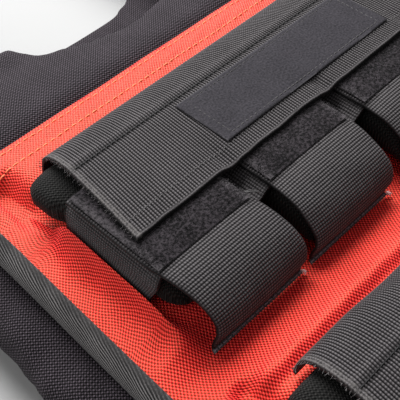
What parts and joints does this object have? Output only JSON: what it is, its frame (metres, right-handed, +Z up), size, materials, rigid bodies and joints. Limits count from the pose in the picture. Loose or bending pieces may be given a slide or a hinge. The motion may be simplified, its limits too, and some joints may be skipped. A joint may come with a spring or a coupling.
{
  "type": "weighted vest",
  "caption": "Padded black vest lying on its back, with a red front panel and rows of webbing pockets that hold weight bars under wide webbing flaps.",
  "frame": {"origin": "on the floor, under the middle of the vest's bounding box", "axes": "+X along the pocket rows, +Y from the hem to the shoulders, +Z up out of the front"},
  "size_m": [0.323, 0.5239, 0.0793],
  "materials": {
    "black_cloth": "matte oxford weave, padded",
    "red_weave": "matte basket weave, padded",
    "webbing": "ribbed nylon webbing with a soft sheen",
    "fastener": "fuzzy loop fastener tape",
    "edge_tape": "ribbed twill tape",
    "label_satin": "smooth satin, bare",
    "weight_cover": "coarse black nylon cover over a metal bar"
  },
  "bodies": {
    "root": {"back_panel": "black_cloth", "front_panel": "black_cloth", "shoulder_strap_left": "black_cloth", "shoulder_strap_right": "black_cloth", "side_panel_left": "black_cloth", "side_panel_right": "black_cloth", "side_binding_left": "edge_tape", "side_binding_right": "edge_tape", "red_panel": "red_weave", "label": "label_satin", "band_upper": "webbing", "flap_upper": "webbing", "loop_upper_1": "webbing", "patch_upper_1": "fastener", "weight_upper_1": "weight_cover", "loop_upper_2": "webbing", "patch_upper_2": "fastener", "weight_upper_2": "weight_cover", "loop_upper_3": "webbing", "patch_upper_3": "fastener", "weight_upper_3": "weight_cover", "loop_upper_4": "webbing", "patch_upper_4": "fastener", "weight_upper_4": "weight_cover", "band_lower": "webbing", "flap_lower": "webbing", "loop_lower_1": "webbing", "patch_lower_1": "fastener", "weight_lower_1": "weight_cover", "loop_lower_2": "webbing", "patch_lower_2": "fastener", "weight_lower_2": "weight_cover", "loop_lower_3": "webbing", "patch_lower_3": "fastener", "weight_lower_3": "weight_cover", "loop_lower_4": "webbing", "patch_lower_4": "fastener", "weight_lower_4": "weight_cover"}
  },
  "joints": []
}
